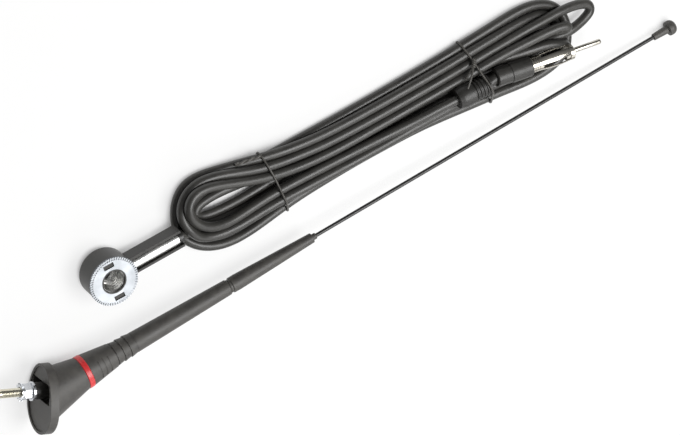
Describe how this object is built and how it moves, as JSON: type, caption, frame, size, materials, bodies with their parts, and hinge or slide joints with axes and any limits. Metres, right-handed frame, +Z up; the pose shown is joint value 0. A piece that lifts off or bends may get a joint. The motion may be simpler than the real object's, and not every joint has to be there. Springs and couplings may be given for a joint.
{
  "type": "car roof antenna",
  "caption": "Car roof antenna: rubber-covered leaning mast with a red ring on a roof foot with a threaded stud, and its lead with clamp cup, tied coaxial hank and radio plug.",
  "frame": {"origin": "on the surface that the parts lie on, under the middle of the antenna and the clamp cup", "axes": "+X along the mast from the foot to the tip, +Y from the mast to the lead, +Z up from the surface"},
  "size_m": [0.4386, 0.0863, 0.0301],
  "materials": {
    "rubber_black": "satin",
    "red_plastic": "gloss",
    "bright_zinc": "bright",
    "brass_plated": "bright",
    "zinc_casting": "as cast",
    "black_plastic": "satin",
    "black_vinyl": "satin",
    "glass_fibre": "matte",
    "copper_wire": "enamelled",
    "black_steel": "satin",
    "nickel_bright": "bright",
    "white_plastic": "matte",
    "tie_wire": "drawn"
  },
  "bodies": {
    "foot": {"foot_boot": "rubber_black", "foot_core": "zinc_casting", "roof_stud": "brass_plated", "stud_insulator": "black_plastic", "flat_washer": "bright_zinc", "clamp_cup": "black_plastic", "ground_ring": "bright_zinc", "contact_bush": "nickel_bright", "braid_crimp": "nickel_bright", "cable_ferrule": "black_steel", "plug_strain_relief": "black_vinyl", "plug_neck": "black_plastic", "plug_boot": "black_plastic", "plug_barrel": "nickel_bright", "plug_insulator": "white_plastic", "plug_pin": "nickel_bright", "left_tie": "tie_wire", "right_tie": "tie_wire", "cable_hank": "black_vinyl", "cable_lead": "black_vinyl", "cable_tail": "black_vinyl"},
    "ring": {"red_ring": "red_plastic"},
    "mast": {"mast_stud": "brass_plated", "mast_boot": "rubber_black", "coil_former": "glass_fibre", "loading_coil": "copper_wire", "upper_sleeve": "rubber_black", "whip_rod": "black_steel", "tip_cap": "rubber_black"},
    "star": {"star_washer": "bright_zinc"},
    "nut": {"clamp_nut": "bright_zinc"}
  },
  "joints": [
    {"name": "mast_lift", "type": "slide", "parent": "foot", "child": "ring", "axis": [0.9997, 0, -0.0262], "range_m": [0, 0.008]},
    {"name": "mast_turn", "type": "hinge", "parent": "ring", "child": "mast", "pos_m": [-0.16741, -0.017, 0.01429], "axis": [0.9997, 0, -0.0262], "range_deg": [0, 3600]},
    {"name": "nut_travel", "type": "slide", "parent": "foot", "child": "star", "axis": [-0.8946, 0.4462, 0.0235], "range_m": [0, 0.01]},
    {"name": "nut_turn", "type": "hinge", "parent": "star", "child": "nut", "pos_m": [-0.20441, -0.00857, 0.01526], "axis": [-0.8946, 0.4462, 0.0235], "range_deg": [0, 4500]}
  ],
  "couplings": [
    {"joint": "mast_turn", "follows": "mast_lift", "rad_per_m": 7854},
    {"joint": "nut_turn", "follows": "nut_travel", "rad_per_m": 7854}
  ]
}
